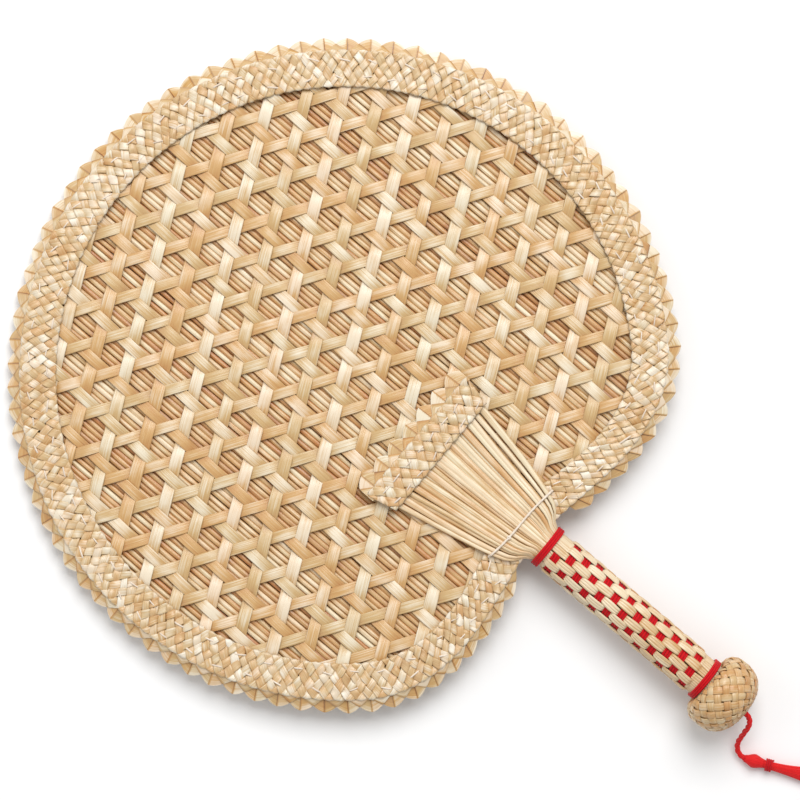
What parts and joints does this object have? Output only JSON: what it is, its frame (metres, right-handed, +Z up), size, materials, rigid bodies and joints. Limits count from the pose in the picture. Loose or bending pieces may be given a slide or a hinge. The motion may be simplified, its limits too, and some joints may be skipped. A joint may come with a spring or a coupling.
{
  "type": "hand fan",
  "caption": "Round woven straw hand fan with a lattice face, a pointed rim, a handle woven with red yarn, a basket-woven pommel and a red tassel on a short cord.",
  "frame": {"origin": "middle of the fan's footprint, on the surface that it lies on, without the tassel", "axes": "+Z up out of the fan's face, +Y from the handle to the far rim, +X to the right"},
  "size_m": [0.312, 0.4757, 0.0359],
  "materials": {
    "straw": "natural straw with a soft sheen",
    "leaf": "dried palm leaf with a satin sheen",
    "red_yarn": "matt spun yarn",
    "white_thread": "matt sewing thread",
    "cane": "raw cane"
  },
  "bodies": {
    "fan": {"straw_backing": "straw", "front_strips_upright": "leaf", "front_strips_falling": "leaf", "front_strips_rising": "leaf", "back_strips_upright": "leaf", "back_strips_falling": "leaf", "back_strips_rising": "leaf", "front_border_braid": "leaf", "back_border_braid": "leaf", "pointed_edging": "leaf", "front_short_braid": "leaf", "back_short_braid": "leaf", "front_short_points": "leaf", "back_short_points": "leaf", "front_tie_thread": "white_thread", "back_tie_thread": "white_thread", "handle_stick": "cane", "handle_stake_01": "straw", "handle_stake_02": "straw", "handle_stake_03": "straw", "handle_stake_04": "straw", "handle_stake_05": "straw", "handle_stake_06": "straw", "handle_stake_07": "straw", "handle_stake_08": "straw", "handle_stake_09": "straw", "handle_stake_10": "straw", "handle_stake_11": "straw", "handle_stake_12": "straw", "handle_stake_13": "straw", "handle_stake_14": "straw", "handle_stake_15": "straw", "red_band": "red_yarn", "upper_binding": "red_yarn", "lower_binding": "red_yarn", "pommel_filling": "cane", "pommel_cover": "straw"},
    "tassel": {"tassel_cord": "red_yarn", "tassel_head": "red_yarn", "tassel_neck_binding": "red_yarn", "tassel_skirt": "red_yarn"}
  },
  "joints": [
    {"name": "tassel_swing", "type": "hinge", "parent": "fan", "child": "tassel", "pos_m": [0, -0.19963, 0.0185], "axis": [0, 0, 1], "range_deg": [-30, 60]}
  ]
}
